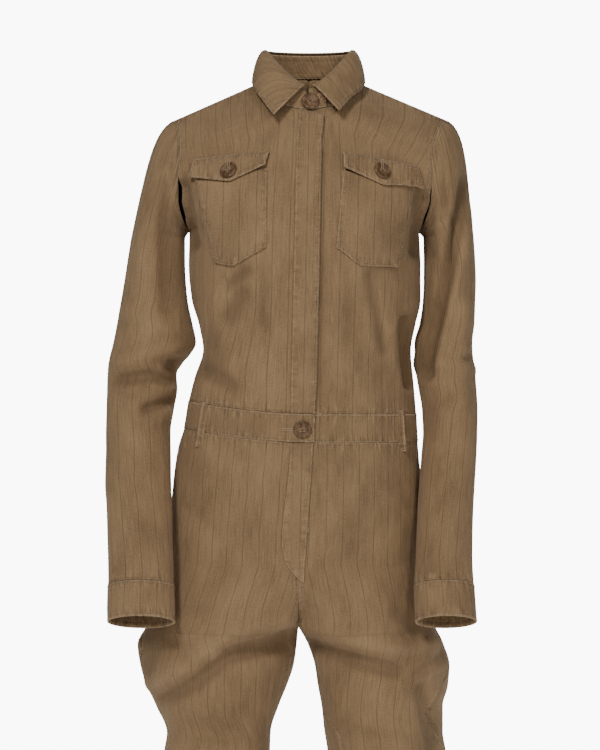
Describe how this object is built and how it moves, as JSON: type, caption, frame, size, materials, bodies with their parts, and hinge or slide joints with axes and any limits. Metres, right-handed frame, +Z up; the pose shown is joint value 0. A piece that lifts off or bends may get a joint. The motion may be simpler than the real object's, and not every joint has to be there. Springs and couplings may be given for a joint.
{
  "type": "boiler suit",
  "caption": "Worn long-sleeved boiler suit as a hollow shell, with shirt collar, covered front placket, flap chest pockets, waistband, belt loops and full legs.",
  "frame": {"origin": "middle of the neck base, level with the high points of the shoulders, where the wearer holds the garment", "axes": "+Z up along the wearer's body, -Y out of the front, +X towards the wearer's left"},
  "size_m": [0.4996, 0.2675, 1.4171],
  "materials": {
    "drill": "khaki-brown cotton drill, fine vertical twill with darker pinstripes about 22 mm apart, dry matte, seams worn lighter",
    "button": "mottled brown resin, satin, rimmed with four holes",
    "thread": "tone-on-tone sewing thread"
  },
  "bodies": {
    "root": {"front_right": "drill", "front_left": "drill", "back": "drill", "placket": "drill", "collar_stand": "drill", "collar_leaf": "drill", "pocket_right": "drill", "pocket_left": "drill", "flap_right": "drill", "flap_left": "drill", "sleeve_right": "drill", "sleeve_left": "drill", "cuff_right": "drill", "cuff_left": "drill", "waistband": "drill", "loop_front_right": "drill", "loop_front_left": "drill", "loop_back": "drill", "fly": "drill", "leg_front_right": "drill", "leg_front_left": "drill", "leg_back_right": "drill", "leg_back_left": "drill", "button_collar": "button", "button_pocket_right": "button", "button_pocket_left": "button", "button_waist": "button"}
  },
  "joints": []
}
